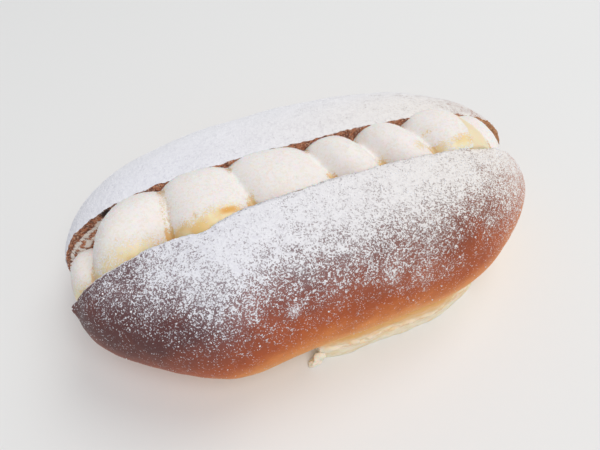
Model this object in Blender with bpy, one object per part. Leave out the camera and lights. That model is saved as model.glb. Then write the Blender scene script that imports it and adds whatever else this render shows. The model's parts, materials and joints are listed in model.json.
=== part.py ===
"""A cream bun: an oval bun slit along its top and opened, with eight mounds of cream piped into the slit.

Metres, +Z up. X runs along the bun and Y across it, from the near lobe to the far one. The origin is on the
floor below the middle of the whole.
"""

import math
from collections import namedtuple

import bmesh
import bpy
from mathutils import Matrix, Vector, noise

# ------------------------------------------------------------------ driving sizes of the bun
# Each lobe of the bun: its side of the slit, its half length and where that is centred, its greatest width and
# how that leans to one end, its height, and how far the slit's lip stands off the middle: half way along, then
# what that changes by from the middle to the right end, and its flare at both ends.
Lobe = namedtuple("Lobe", "side length centre width lean height lip lip_change lip_flare")
NEAR = Lobe(-1, 0.0788, -0.0005, 0.0373, -0.018, 0.0524, 0.0090, -0.0012, 0.0011)
FAR = Lobe(1, 0.0822, 0.0012, 0.0412, 0.041, 0.0502, 0.0100, -0.0018, 0.0042)

WAIST = 0.0168  # the bun is widest at this height
LEFT_LIFT = 0.0042  # the ends curl up off the tray, the left one more
RIGHT_LIFT = 0.0013
FLAT_BASE = 0.0020  # depth of the round underside that the tray has pressed flat

PLAN_POWER = 2.1  # outline from above: 2 is an ellipse, more is squarer
CREST_POWER = 2.23  # outline of the crest from the side
KEEL_POWER = 6.0  # outline of the underside from the side
SHOULDER_POWER = 2.26  # a section above the waist
UNDER_POWER = 3.0  # a section below the waist
MIDDLE_SPREAD = 3.0  # how soon the lobes part on their way out from the middle of the base

# Swellings of the near lobe and the place where its lip is pressed outwards: how much, where, how far it spreads.
BELLY = (0.144, -0.042, 0.018)
HAUNCH = (0.086, 0.042, 0.024)
DIP = (0.0025, -0.0368, 0.0062)

# ------------------------------------------------------------------ driving sizes of the slit
SLIT_FLOOR = 0.0090
SLIT_FLOOR_AT_ENDS = 0.0135
SLIT_POWER = 0.52  # how fast the slit opens on its way up
SLIT_TRIM = 0.0004  # crust that the cut takes off the lips
SLIT_TOP = 0.060
SLIT_REACH = 0.092
CRAG = 0.0012  # depth and width of the crags in the slit's walls
CRAG_WIDTH = 0.0030
GAP = 0.0003  # clear space between the cream and the bun

# ------------------------------------------------------------------ driving sizes of the torn crumb
# A neighbouring bun came off the near side here and left a rough upright face.
TEAR_LEFT = -0.0130
TEAR_RIGHT = 0.0470
TEAR_FRONT = -0.0408
TEAR_BACK = -0.0270
TEAR_HEIGHT = 0.0122
TEAR_HEIGHT_AT_ENDS = 0.0055
TEAR_CURVE = 1.5  # how the face turns in towards its ends
LEFT_TURN = (-0.0020, 0.0020)  # where the turn starts, and how deep it gets
RIGHT_TURN = (0.0270, 0.0054)
LEDGE = (0.45, 0.0010)  # share of the height, and how far the crumb above it stands back
TEAR_ROUGHNESS = 0.0008
TEAR_GRAIN = 0.0040
FLAP_AT = (-0.0138, -0.0400, 0.0035)  # a flap of crumb left standing at the tear's end
FLAP_SIZE = (0.0042, 0.0035, 0.0070)
FLAP_ROUGHNESS = 0.0012
FLAP_GRAIN = 0.0033

# ------------------------------------------------------------------ driving sizes of the cream
# Mounds: middle, half length, half width, top, and how far the nozzle's strokes lean along the bun.
Mound = namedtuple("Mound", "x half_length half_width top slant")
MOUNDS = [
    Mound(-0.0735, 0.0088, 0.0130, 0.0348, 0.10),
    Mound(-0.0553, 0.0150, 0.0140, 0.0504, 0.08),
    Mound(-0.0326, 0.0160, 0.0160, 0.0514, 0.14),
    Mound(-0.0089, 0.0155, 0.0160, 0.0517, 0.22),
    Mound(0.0113, 0.0124, 0.0160, 0.0514, 0.30),
    Mound(0.0294, 0.0124, 0.0160, 0.0507, 0.32),
    Mound(0.0482, 0.0146, 0.0155, 0.0498, 0.30),
    Mound(0.0662, 0.0114, 0.0115, 0.0375, 0.15),
]
MOUND_Y = 0.0008
MOUND_DEPTH = 0.022  # from a mound's top to its widest level
MOUND_POWER = 2.6  # roundness of a mound
CORE = Mound(0.0, 0.0760, 0.0160, 0.0440, 0.0)  # cream below the mounds
CORE_DEPTH = 0.036
CORE_POWER = 2.6

# The whole is built round the slit and then moved, so that its bounding box is centred on the origin.
MIDDLE = (0.0004, 0.00175)

# ------------------------------------------------------------------ fineness of the meshes
LOAF_RINGS = 56
LOAF_SEGMENTS = 60
SLIT_RINGS = 52
SLIT_SEGMENTS = 24
MOUND_RINGS = 14
MOUND_SEGMENTS = 24
TEAR_COLUMNS = 42
TEAR_ROWS = 6
FLAP_CUTS = 2
TINY = 1e-5

CRUST_COLOUR = (0.42, 0.14, 0.05)
CREAM_COLOUR = (0.88, 0.77, 0.55)


# ------------------------------------------------------------------ scene and object helpers
def clear_scene():
    for obj in list(bpy.data.objects):
        bpy.data.objects.remove(obj)
    for collection in list(bpy.data.collections):
        bpy.data.collections.remove(collection)


def add_collection(name):
    collection = bpy.data.collections.new(name)
    bpy.context.scene.collection.children.link(collection)
    return collection


def add_object(bm, name, collection):
    bmesh.ops.recalc_face_normals(bm, faces=bm.faces)
    mesh = bpy.data.meshes.new(name)
    bm.to_mesh(mesh)
    bm.free()
    obj = bpy.data.objects.new(name, mesh)
    collection.objects.link(obj)
    return obj


def add_material(obj, colour, roughness):
    material = bpy.data.materials.new(obj.name)
    material.use_nodes = True
    shader = material.node_tree.nodes["Principled BSDF"]
    shader.inputs["Base Color"].default_value = (*colour, 1.0)
    shader.inputs["Roughness"].default_value = roughness
    shader.inputs["Metallic"].default_value = 0.0
    obj.data.materials.append(material)


def apply_boolean(obj, modifier):
    modifier.solver = "EXACT"
    evaluated = obj.evaluated_get(bpy.context.evaluated_depsgraph_get())
    mesh = bpy.data.meshes.new_from_object(evaluated)
    obj.modifiers.clear()
    obj.data = mesh


def join(obj, collection):
    """Unites an object with all objects of a collection, which is then removed."""
    modifier = obj.modifiers.new("join", "BOOLEAN")
    modifier.operation = "UNION"
    modifier.operand_type = "COLLECTION"
    modifier.collection = collection
    apply_boolean(obj, modifier)
    for used in list(collection.objects):
        bpy.data.objects.remove(used)
    bpy.data.collections.remove(collection)


def carve(obj, cutter, operation="DIFFERENCE"):
    """Cuts an object with a cutter, which is then removed."""
    modifier = obj.modifiers.new("carve", "BOOLEAN")
    modifier.operation = operation
    modifier.object = cutter
    apply_boolean(obj, modifier)
    bpy.data.objects.remove(cutter)


# ------------------------------------------------------------------ small formulas
def signed_power(value, power):
    return math.copysign(abs(value) ** power, value)


def clamp(value, low=0.0, high=1.0):
    return max(low, min(high, value))


def smooth_step(value):
    value = clamp(value)
    return value * value * (3 - 2 * value)


def bump(x, amount, middle, spread):
    return amount * math.exp(-(((x - middle) / spread) ** 2))


def round_off(share, power):
    """Half height of a rounded outline, at a share of its half length."""
    return (1 - clamp(abs(share)) ** power) ** (1 / power)


# ------------------------------------------------------------------ the loaf
def mix_lobes(share):
    return Lobe(*(near + (far - near) * share for near, far in zip(NEAR, FAR)))


def lip(lobe, along):
    return lobe.lip + lobe.lip_change * along + lobe.lip_flare * along**2


def slit_opening(lobe, z):
    return clamp((z - SLIT_FLOOR) / (lobe.height - SLIT_FLOOR)) ** SLIT_POWER


def pressed_out(lobe, x, z):
    """How far the near lip is pressed outwards, which fades below it."""
    return bump(x, *DIP) * clamp(z / lobe.height) ** 4 if lobe.side < 0 else 0.0


def blend_lobes(direction, rise, on_crest):
    """The lobe at a point of the sphere: blended at the ends, on the crest and, slowly, under the bun."""
    if on_crest or abs(direction.x) > 1 - TINY:
        return mix_lobes(0.5)
    hand = math.copysign(1, direction.y)
    if rise >= 0:
        return mix_lobes((1 + hand) / 2)
    lobe = mix_lobes(smooth_step((1 + hand * math.cos(rise)) / 2))
    return lobe._replace(side=hand * smooth_step(MIDDLE_SPREAD * math.cos(rise)))


def loaf_point(direction, step):
    """Carries a point of a unit sphere, whose poles are on X, to the surface of the bun before it is slit.

    The rows next to the crest, one step off it, become the slit's lips.
    """
    at_end = abs(direction.x) > 1 - TINY
    rise = 0.0 if at_end else math.atan2(direction.z, abs(direction.y))
    on_crest = rise > math.pi / 2 - step / 2
    lobe = blend_lobes(direction, rise, on_crest)
    if rise > 0:
        rise = min(rise * (math.pi / 2) / (math.pi / 2 - step), math.pi / 2)

    along = signed_power(direction.x, 2 / PLAN_POWER)
    x = lobe.centre + lobe.length * along
    swelling = 1 + (bump(x, *BELLY) + bump(x, *HAUNCH)) * clamp(-lobe.side)
    width = lobe.width * round_off(along, PLAN_POWER) * (1 - lobe.lean * along) * swelling
    waist = WAIST + (LEFT_LIFT if along < 0 else RIGHT_LIFT) * along**2
    if rise >= 0:
        out = width * math.cos(rise) ** (2 / SHOULDER_POWER)
        crest = (lobe.height - WAIST) * round_off(along, CREST_POWER)
        z = waist + crest * math.sin(rise) ** (2 / SHOULDER_POWER)
    else:
        out = width * math.cos(rise) ** (2 / UNDER_POWER)
        keel = (WAIST + FLAT_BASE) * round_off(along, KEEL_POWER)
        z = max(waist - keel * (-math.sin(rise)) ** (2 / UNDER_POWER), 0.0)
    y = lobe.side * (out + lip(lobe, along) * slit_opening(lobe, z)) - pressed_out(lobe, x, z)
    return Vector((x, y, z))


def build_loaf(collection):
    bm = bmesh.new()
    bmesh.ops.create_uvsphere(bm, u_segments=LOAF_SEGMENTS, v_segments=LOAF_RINGS, radius=1.0)
    bmesh.ops.rotate(bm, verts=bm.verts, cent=(0, 0, 0), matrix=Matrix.Rotation(math.pi / 2, 3, "Y"))
    for vert in bm.verts:
        vert.co = loaf_point(vert.co.normalized(), 2 * math.pi / LOAF_SEGMENTS)
    return add_object(bm, "bun", collection)


# ------------------------------------------------------------------ the slit
def slit_wall(lobe, x, z, inset):
    """Where one wall of the slit is. A positive inset draws it in towards the middle."""
    along = clamp((x - lobe.centre) / lobe.length, -1, 1)
    out = lip(lobe, along) * slit_opening(lobe, z) + SLIT_TRIM - inset
    return lobe.side * max(out, 0.0) - pressed_out(lobe, x, z)


def slit_floor(x, inset):
    share = smooth_step(2 * abs(x) / NEAR.length - 1)
    return SLIT_FLOOR + (SLIT_FLOOR_AT_ENDS - SLIT_FLOOR) * share + inset


def build_slit(name, inset, crag, collection):
    """A body that fills the slit: a round bar along X whose sections are spread between the two walls."""
    bm = bmesh.new()
    bmesh.ops.create_cone(
        bm,
        cap_ends=True,
        segments=SLIT_SEGMENTS,
        radius1=1,
        radius2=1,
        depth=2 * SLIT_REACH,
        matrix=Matrix.Rotation(math.pi / 2, 4, "Y"),
    )
    long_edges = [e for e in bm.edges if abs(e.verts[0].co.x - e.verts[1].co.x) > SLIT_REACH]
    bmesh.ops.subdivide_edges(bm, edges=long_edges, cuts=SLIT_RINGS - 1)
    for vert in bm.verts:
        x, side, level = vert.co
        floor = slit_floor(x, inset)
        z = floor + (SLIT_TOP - floor) * (level + 1) / 2
        if abs(side) < TINY:
            y = 0.0
        else:
            lobe = FAR if side > 0 else NEAR
            y = slit_wall(lobe, x, z, inset)
            y += lobe.side * crag * abs(noise.noise(Vector((x, y, z)) / CRAG_WIDTH))
        vert.co = (x, y, z)
    return add_object(bm, name, collection)


# ------------------------------------------------------------------ torn crumb on the near side
def torn_face(x, z):
    left_start, left_depth = LEFT_TURN
    right_start, right_depth = RIGHT_TURN
    y = TEAR_FRONT
    y += left_depth * clamp((x - left_start) / (TEAR_LEFT - left_start)) ** TEAR_CURVE
    y += right_depth * clamp((x - right_start) / (TEAR_RIGHT - right_start)) ** TEAR_CURVE
    level, step = LEDGE
    ragged = noise.noise(Vector((x / TEAR_GRAIN, 0.0, 0.0)))
    y += step * smooth_step((z / TEAR_HEIGHT - level) * TEAR_ROWS + ragged)
    return y + TEAR_ROUGHNESS * noise.noise(Vector((x, 0.0, z)) / TEAR_GRAIN)


def build_tear(collection):
    bm = bmesh.new()
    bmesh.ops.create_cube(bm, size=2.0)
    for axis, cuts in ((0, TEAR_COLUMNS - 1), (2, TEAR_ROWS - 1)):
        edges = [e for e in bm.edges if abs(e.verts[0].co[axis] - e.verts[1].co[axis]) > 1]
        bmesh.ops.subdivide_edges(bm, edges=edges, cuts=cuts)
    for vert in bm.verts:
        x = TEAR_LEFT + (TEAR_RIGHT - TEAR_LEFT) * (vert.co.x + 1) / 2
        top = TEAR_HEIGHT_AT_ENDS + (TEAR_HEIGHT - TEAR_HEIGHT_AT_ENDS) * round_off(vert.co.x, UNDER_POWER)
        z = top * (vert.co.z + 1) / 2
        vert.co = (x, torn_face(x, z) if vert.co.y < 0 else TEAR_BACK, z)
    return add_object(bm, "tear", collection)


def build_flap(collection):
    bm = bmesh.new()
    bmesh.ops.create_cube(bm, size=1.0)
    bmesh.ops.subdivide_edges(bm, edges=bm.edges[:], cuts=FLAP_CUTS, use_grid_fill=True)
    for vert in bm.verts:
        place = Vector(FLAP_AT) + Vector(a * b for a, b in zip(vert.co, FLAP_SIZE))
        shifts = [noise.noise(place / FLAP_GRAIN + Vector((0, 0, axis))) for axis in range(3)]
        place += FLAP_ROUGHNESS * Vector(shifts)
        vert.co = (place.x, place.y, max(place.z, 0.0))
    return add_object(bm, "flap", collection)


# ------------------------------------------------------------------ the cream
def build_mound(mound, name, collection, depth=MOUND_DEPTH, power=MOUND_POWER):
    bm = bmesh.new()
    bmesh.ops.create_uvsphere(bm, u_segments=MOUND_SEGMENTS, v_segments=MOUND_RINGS, radius=1.0)
    for vert in bm.verts:
        along, across, up = (signed_power(share, 2 / power) for share in vert.co)
        y = across * mound.half_width
        x = mound.x + along * mound.half_length - mound.slant * y
        vert.co = (x, MOUND_Y + y, mound.top + (up - 1) * depth)
    return add_object(bm, name, collection)


def build_cream(collection):
    cream = build_mound(CORE, "cream", collection, CORE_DEPTH, CORE_POWER)
    mounds = add_collection("mounds")
    for number, mound in enumerate(MOUNDS):
        build_mound(mound, f"mound_{number}", mounds)
    join(cream, mounds)
    carve(cream, build_slit("slit_inside", GAP, 0.0, collection), "INTERSECT")
    add_material(cream, CREAM_COLOUR, 0.55)
    return cream


def build_bun(collection):
    bun = build_loaf(collection)
    additions = add_collection("additions")
    build_tear(additions)
    build_flap(additions)
    join(bun, additions)
    carve(bun, build_slit("slit", 0.0, CRAG, collection))
    add_material(bun, CRUST_COLOUR, 0.5)
    return bun


def finish(obj):
    """Moves a finished solid to the origin, shades it smooth and prints its size."""
    obj.data.transform(Matrix.Translation((-MIDDLE[0], -MIDDLE[1], 0.0)))
    obj.data.polygons.foreach_set("use_smooth", [True] * len(obj.data.polygons))
    places = [vert.co * 1000 for vert in obj.data.vertices]
    low = [round(min(place[axis] for place in places), 1) for axis in range(3)]
    high = [round(max(place[axis] for place in places), 1) for axis in range(3)]
    triangles = sum(len(face.vertices) - 2 for face in obj.data.polygons)
    print(f"{obj.name}: {triangles} triangles, from {low} to {high} mm")


def main():
    clear_scene()
    collection = add_collection("cream_bun")
    for obj in (build_bun(collection), build_cream(collection)):
        finish(obj)


main()
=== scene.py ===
# %% [markdown]
# # A cream bun dusted with icing sugar
#
# A long soft bun is slit along its top, opened into two lobes and filled with a row of piped mounds of cream.
# Icing sugar lies thick where it fell from above and thins to single grains down the sides, where the baked
# crust shows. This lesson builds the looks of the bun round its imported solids, which give its place and size.
# Every length is in metres, +Z is up, X runs along the bun and Y across it, from the near lobe to the far one.

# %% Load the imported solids
import json
import math
from collections import namedtuple

import bmesh
import bpy
import numpy as np
from mathutils import Euler, Matrix, Vector, noise

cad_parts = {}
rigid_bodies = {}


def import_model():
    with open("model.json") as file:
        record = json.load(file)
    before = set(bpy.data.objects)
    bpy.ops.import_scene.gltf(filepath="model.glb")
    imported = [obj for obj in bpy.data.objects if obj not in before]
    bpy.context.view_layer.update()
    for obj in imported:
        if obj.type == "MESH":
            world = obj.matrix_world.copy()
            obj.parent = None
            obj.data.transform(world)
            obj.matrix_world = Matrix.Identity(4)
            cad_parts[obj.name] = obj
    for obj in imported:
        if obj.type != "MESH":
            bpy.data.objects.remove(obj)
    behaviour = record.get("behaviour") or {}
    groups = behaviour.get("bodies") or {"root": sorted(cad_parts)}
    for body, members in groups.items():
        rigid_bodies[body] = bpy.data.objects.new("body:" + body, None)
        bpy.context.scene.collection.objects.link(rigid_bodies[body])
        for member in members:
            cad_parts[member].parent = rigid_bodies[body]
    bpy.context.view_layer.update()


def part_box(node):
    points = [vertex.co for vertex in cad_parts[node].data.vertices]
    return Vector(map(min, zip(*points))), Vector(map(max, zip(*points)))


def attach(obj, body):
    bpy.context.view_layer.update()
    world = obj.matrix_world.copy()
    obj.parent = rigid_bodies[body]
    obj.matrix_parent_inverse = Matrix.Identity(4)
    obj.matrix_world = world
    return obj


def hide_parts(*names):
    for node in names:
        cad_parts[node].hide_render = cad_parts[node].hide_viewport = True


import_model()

MM = 0.001
for node in ("bun", "cream"):
    low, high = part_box(node)
    print(node, "spans", [round(size / MM, 1) for size in high - low], "mm")

# %% [markdown]
# ## Small helpers
#
# A few formulas come back in every step: a power that keeps its sign, smooth and straight ways from 0 to 1, and
# a bump that fades with distance. They are written once, for single numbers and for whole arrays alike.


# %% Formulas
def signed_power(value, power):
    return np.sign(value) * np.abs(value) ** power


def smooth_step(value):
    value = np.clip(value, 0.0, 1.0)
    return value * value * (3 - 2 * value)


def fade(value, start, end):
    """From 0 at start to 1 at end, smoothly."""
    return smooth_step((value - start) / (end - start))


def ramp(value, low, high):
    """From 0 at low to 1 at high, in a straight line."""
    return np.clip((value - low) / (high - low), 0.0, 1.0)


def bump(x, amount, middle, spread):
    return amount * np.exp(-(((x - middle) / spread) ** 2))


def round_off(share, power):
    """Half height of a rounded outline, at a share of its half length."""
    return (1 - np.clip(np.abs(share), 0.0, 1.0) ** power) ** (1 / power)


def ripple(places, size, seed=0.0):
    """Smooth noise between about -1 and 1, whose waves are about size long."""
    shift = Vector((seed, 2 * seed, 3 * seed))
    return np.array([noise.noise(Vector(place) / size + shift) for place in places])


# %% Mesh helpers
def add_object(name, mesh):
    obj = bpy.data.objects.new(name, mesh)
    bpy.context.scene.collection.objects.link(obj)
    return obj


def object_from(bm, name):
    bmesh.ops.recalc_face_normals(bm, faces=bm.faces)
    mesh = bpy.data.meshes.new(name)
    bm.to_mesh(mesh)
    bm.free()
    return add_object(name, mesh)


def apply_modifiers(obj):
    evaluated = obj.evaluated_get(bpy.context.evaluated_depsgraph_get())
    mesh = bpy.data.meshes.new_from_object(evaluated)
    obj.modifiers.clear()
    obj.data = mesh


def places_of(mesh):
    places = np.empty(3 * len(mesh.vertices))
    mesh.vertices.foreach_get("co", places)
    return places.reshape(-1, 3)


def put_places(mesh, places):
    mesh.vertices.foreach_set("co", places.ravel())
    mesh.update()


def normals_of(mesh):
    normals = np.empty(3 * len(mesh.vertices))
    mesh.vertex_normals.foreach_get("vector", normals)
    return normals.reshape(-1, 3)


def put_in_order(mesh):
    """Sorts a mesh's points and faces by place, since a Boolean may number them anew on each run."""
    places = places_of(mesh)
    order = np.lexsort(places.T)
    rank = np.argsort(order)
    faces = []
    for face in mesh.polygons:
        corners = rank[list(face.vertices)].tolist()
        first = corners.index(min(corners))
        faces.append((corners[first:] + corners[:first], face.material_index))
    faces.sort()
    mesh.clear_geometry()
    mesh.from_pydata(places[order].tolist(), [], [corners for corners, _ in faces])
    mesh.polygons.foreach_set("material_index", [material for _, material in faces])


def paint(mesh, name, values):
    """Stores one number at each vertex, for the materials and the sprinkled sugar to read."""
    layer = mesh.attributes.get(name) or mesh.attributes.new(name, "FLOAT", "POINT")
    layer.data.foreach_set("value", np.asarray(values, dtype=np.float32))


def shade_smooth(mesh):
    mesh.polygons.foreach_set("use_smooth", [True] * len(mesh.polygons))


def report(obj):
    triangles = sum(len(face.vertices) - 2 for face in obj.data.polygons)
    places = places_of(obj.data) / MM
    print(f"{obj.name}: {triangles} triangles, {places.min(0).round(1)} to {places.max(0).round(1)} mm")


# %% [markdown]
# ## The camera
#
# The bun is seen from above its near left side, at a little over 50 degrees down. The camera stands close, as
# a hand-held one does, so the near end of the bun looks larger than the far end.

# %% Camera
CAMERA_PLACE = (-0.0370, -0.08985, 0.1480)
CAMERA_TILT = 36.64  # degrees away from straight down
CAMERA_ROLL = 0.89
CAMERA_HEADING = -21.13
LENS = 27.06

camera_data = bpy.data.cameras.new("camera")
camera_data.lens = LENS
camera_data.clip_start = MM
camera = bpy.data.objects.new("camera", camera_data)
camera.location = CAMERA_PLACE
turn = (CAMERA_TILT, CAMERA_ROLL, CAMERA_HEADING)
camera.rotation_euler = Euler([math.radians(angle) for angle in turn], "XYZ")
bpy.context.scene.collection.objects.link(camera)
bpy.context.scene.camera = camera
print("camera stands", round(camera.location.length / MM), "mm from the bun")

# %% [markdown]
# ## The shape of the bun
#
# The real bun rose as one loaf and was slit afterwards, so the mesh is made the same way. A sphere with its
# poles at the two ends is pressed into a loaf: each point keeps its place along and around the bun, and named
# sizes say how wide, how tall and how square the loaf is there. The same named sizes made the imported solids,
# so the two agree, but this mesh is much finer and can take dents, crags and a ragged lip.

# %% Sizes of the lobes
# Side of the slit, half length and its centre, greatest width and how that leans to one end, height, and how
# far the slit's lip stands off the middle, with its change towards the right end and its flare at both ends.
Lobe = namedtuple("Lobe", "side length centre width lean height lip lip_change lip_flare")
NEAR = Lobe(-1, 0.0788, -0.0005, 0.0373, -0.018, 0.0524, 0.0090, -0.0012, 0.0011)
FAR = Lobe(1, 0.0822, 0.0012, 0.0412, 0.041, 0.0502, 0.0100, -0.0018, 0.0042)
MIDDLE = (0.0004, 0.00175, 0.0)  # the loaf is moved by this, to stand centred on the origin

WAIST = 0.0168  # the bun is widest at this height
LEFT_LIFT = 0.0042  # and this much higher at its left end
RIGHT_LIFT = 0.0013  # or at its right end
FLAT_BASE = 0.0020  # how far the underside would bulge below the floor, had the tray not pressed it flat

# Powers of the outlines, where 2 gives an ellipse and more gives a squarer shape.
PLAN_POWER = 2.1  # from above
CREST_POWER = 2.23  # along the top
KEEL_POWER = 6.0  # along the underside
SHOULDER_POWER = 2.26  # across the bun, above its waist
UNDER_POWER = 3.0  # and below it
MIDDLE_SPREAD = 3.0  # how soon the lobes part from each other on the underside

# Two bulges of the near lobe, as shares of its width, and a dip of its lip: how much, where and how wide.
BELLY = (0.144, -0.042, 0.018)
HAUNCH = (0.086, 0.042, 0.024)
DIP = (0.0025, -0.0368, 0.0062)

SLIT_FLOOR = 0.0090
SLIT_FLOOR_AT_ENDS = 0.0135
SLIT_POWER = 0.52  # how the slit widens from its floor up to its lips
SLIT_TRIM = 0.0004  # the slit is cut this much wider, so that no thin skin is left between the lips

TINY = 1e-5


# %% Loaf formulas
def mix_lobes(share):
    return Lobe(*(near + (far - near) * share for near, far in zip(NEAR, FAR)))


def lip(lobe, along):
    return lobe.lip + lobe.lip_change * along + lobe.lip_flare * along**2


def slit_opening(lobe, z):
    return np.clip((z - SLIT_FLOOR) / (lobe.height - SLIT_FLOOR), 0.0, 1.0) ** SLIT_POWER


def pressed_out(lobe, x, z):
    """How far the near lip is pressed outwards, which fades further down."""
    return bump(x, *DIP) * np.clip(z / lobe.height, 0.0, 1.0) ** 4 if lobe.side < 0 else 0.0


def blend_lobes(direction, rise, on_crest):
    """The lobe at a point of the sphere: blended at the ends, on the crest and, slowly, under the bun."""
    if on_crest or abs(direction.x) > 1 - TINY:
        return mix_lobes(0.5)
    hand = math.copysign(1, direction.y)
    if rise >= 0:
        return mix_lobes((1 + hand) / 2)
    lobe = mix_lobes(smooth_step((1 + hand * math.cos(rise)) / 2))
    return lobe._replace(side=hand * smooth_step(MIDDLE_SPREAD * math.cos(rise)))


def loaf_point(direction, step):
    """Carries a point of a unit sphere, whose poles are on X, to the surface of the unslit loaf."""
    at_end = abs(direction.x) > 1 - TINY
    rise = 0.0 if at_end else math.atan2(direction.z, abs(direction.y))
    on_crest = rise > math.pi / 2 - step / 2
    lobe = blend_lobes(direction, rise, on_crest)
    if rise > 0:
        rise = min(rise * (math.pi / 2) / (math.pi / 2 - step), math.pi / 2)
    along = signed_power(direction.x, 2 / PLAN_POWER)
    x = lobe.centre + lobe.length * along
    swelling = 1 + (bump(x, *BELLY) + bump(x, *HAUNCH)) * max(-lobe.side, 0.0)
    width = lobe.width * round_off(along, PLAN_POWER) * (1 - lobe.lean * along) * swelling
    waist = WAIST + (LEFT_LIFT if along < 0 else RIGHT_LIFT) * along**2
    if rise >= 0:
        out = width * math.cos(rise) ** (2 / SHOULDER_POWER)
        crest = (lobe.height - WAIST) * round_off(along, CREST_POWER)
        z = waist + crest * math.sin(rise) ** (2 / SHOULDER_POWER)
    else:
        out = width * math.cos(rise) ** (2 / UNDER_POWER)
        keel = (WAIST + FLAT_BASE) * round_off(along, KEEL_POWER)
        z = max(waist - keel * (-math.sin(rise)) ** (2 / UNDER_POWER), 0.0)
    y = lobe.side * (out + lip(lobe, along) * slit_opening(lobe, z)) - pressed_out(lobe, x, z)
    return Vector((x, y, z))


# %% Loaf mesh
LOAF_RINGS = 190
LOAF_SEGMENTS = 228

bm = bmesh.new()
bmesh.ops.create_uvsphere(bm, u_segments=LOAF_SEGMENTS, v_segments=LOAF_RINGS, radius=1.0)
bmesh.ops.rotate(bm, verts=bm.verts, cent=(0, 0, 0), matrix=Matrix.Rotation(math.pi / 2, 3, "Y"))
for vert in bm.verts:
    vert.co = loaf_point(vert.co.normalized(), 2 * math.pi / LOAF_SEGMENTS)
crust = object_from(bm, "crust")
report(crust)

# %% [markdown]
# ## The slit and its torn walls
#
# The slit was cut and then pulled open, so its walls are torn crumb, browned at the lip, and its lips are a
# little ragged. A body is made that fills the slit, with crags on both its sides, and a Boolean takes it out
# of the loaf. The body carries its own material, and the Boolean hands that to the walls that it leaves.

# %% Body that fills the slit
SLIT_RINGS = 320
SLIT_SEGMENTS = 112
SLIT_TOP = 0.060  # the body stands out above the loaf
SLIT_REACH = 0.092  # and past both its ends
SLIT_ROW_POWER = 0.62  # draws the rows together near the lips, where the walls are seen
CRAGS = ((0.0012, 0.0046), (0.0007, 0.0019), (0.0003, 0.0009))  # depth of the crags, and how wide they are
CRAG_FREE = (0.0004, 0.0040)  # there are none this near the lip, and all of their depth from here down
CRAGS_AT_LIP = 0.22  # share of their depth that the crags keep at the lip
LIP_RAG = ((0.00045, 0.0014), (0.00075, 0.0048))  # how ragged the lips are, and how wide the nicks are


def crest(lobe, x):
    """Height of a lobe's lip."""
    along = np.clip((x - lobe.centre) / lobe.length, -1, 1)
    lift = LEFT_LIFT if along < 0 else RIGHT_LIFT
    return WAIST + lift * along**2 + (lobe.height - WAIST) * round_off(along, CREST_POWER)


def slit_wall(lobe, x, z):
    """How far one wall of the slit stands from the middle, as a place on Y."""
    along = np.clip((x - lobe.centre) / lobe.length, -1, 1)
    out = lip(lobe, along) * slit_opening(lobe, z) + SLIT_TRIM
    return lobe.side * out - pressed_out(lobe, x, z)


def slit_floor(x):
    share = smooth_step(2 * abs(x) / NEAR.length - 1)
    return SLIT_FLOOR + (SLIT_FLOOR_AT_ENDS - SLIT_FLOOR) * share


bm = bmesh.new()
bmesh.ops.create_cone(
    bm,
    cap_ends=True,
    segments=SLIT_SEGMENTS,
    radius1=1,
    radius2=1,
    depth=2 * SLIT_REACH,
    matrix=Matrix.Rotation(math.pi / 2, 4, "Y"),
)
long_edges = [e for e in bm.edges if abs(e.verts[0].co.x - e.verts[1].co.x) > SLIT_REACH]
bmesh.ops.subdivide_edges(bm, edges=long_edges, cuts=SLIT_RINGS - 1)
for vert in bm.verts:
    x, side, level = vert.co
    share = math.asin(max(-1.0, min(1.0, level))) / math.pi + 0.5
    z = slit_floor(x) + (SLIT_TOP - slit_floor(x)) * share**SLIT_ROW_POWER
    y = 0.0
    if abs(side) > TINY:
        lobe = FAR if side > 0 else NEAR
        y = slit_wall(lobe, x, z)
        place = Vector((x, y, z))
        free, full = CRAG_FREE
        share = CRAGS_AT_LIP + (1 - CRAGS_AT_LIP) * smooth_step((crest(lobe, x) - z - free) / (full - free))
        for depth, width in CRAGS:
            y += lobe.side * share * depth * abs(noise.noise(place / width))
    vert.co = (x, y, z)
slit_body = object_from(bm, "slit_body")
report(slit_body)

# %% Cut the slit
crust_finish = bpy.data.materials.new("baked_crust")
wall_finish = bpy.data.materials.new("torn_wall")
crust.data.materials.append(crust_finish)
slit_body.data.materials.append(wall_finish)

cut = crust.modifiers.new("slit", "BOOLEAN")
cut.operation = "DIFFERENCE"
cut.solver = "EXACT"
cut.material_mode = "TRANSFER"
cut.object = slit_body
apply_modifiers(crust)
bpy.data.objects.remove(slit_body)
put_in_order(crust.data)
crust.data.transform(Matrix.Translation(-Vector(MIDDLE)))
shade_smooth(crust.data)
print("finishes on the slit loaf:", [slot.name for slot in crust.data.materials])
report(crust)

# %% [markdown]
# ## Dents in the crust
#
# A baked crust is never a perfect curve: it is gently lumpy, with fine wrinkles where it dried. The points of
# the crust are moved along their own normals by noise of three sizes, the points of the lips are moved up and
# down, and the points of the torn walls stay.

# %% Dent the crust
DENTS = ((0.00045, 0.016), (0.00014, 0.0050), (0.00005, 0.0016))  # how deep, and how wide
DENTS_FROM = 6 * MM  # they fade out below this height, so that the foot stays flat
DENTS_AT_LIP = 0.3  # share of them that the lips get
# A small horn of crust at the left tip: its place, reach and height.
HORN = (-0.0775, -0.0105, 0.0290, 0.0022, 0.0016)


def on_walls(mesh):
    """Which points belong to the slit's walls alone, and which lie on the lips."""
    wall_index = mesh.materials.find(wall_finish.name)
    wall = np.zeros(len(mesh.vertices), bool)
    outside = np.zeros(len(mesh.vertices), bool)
    for face in mesh.polygons:
        group = wall if face.material_index == wall_index else outside
        group[list(face.vertices)] = True
    return wall & ~outside, wall & outside


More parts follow.
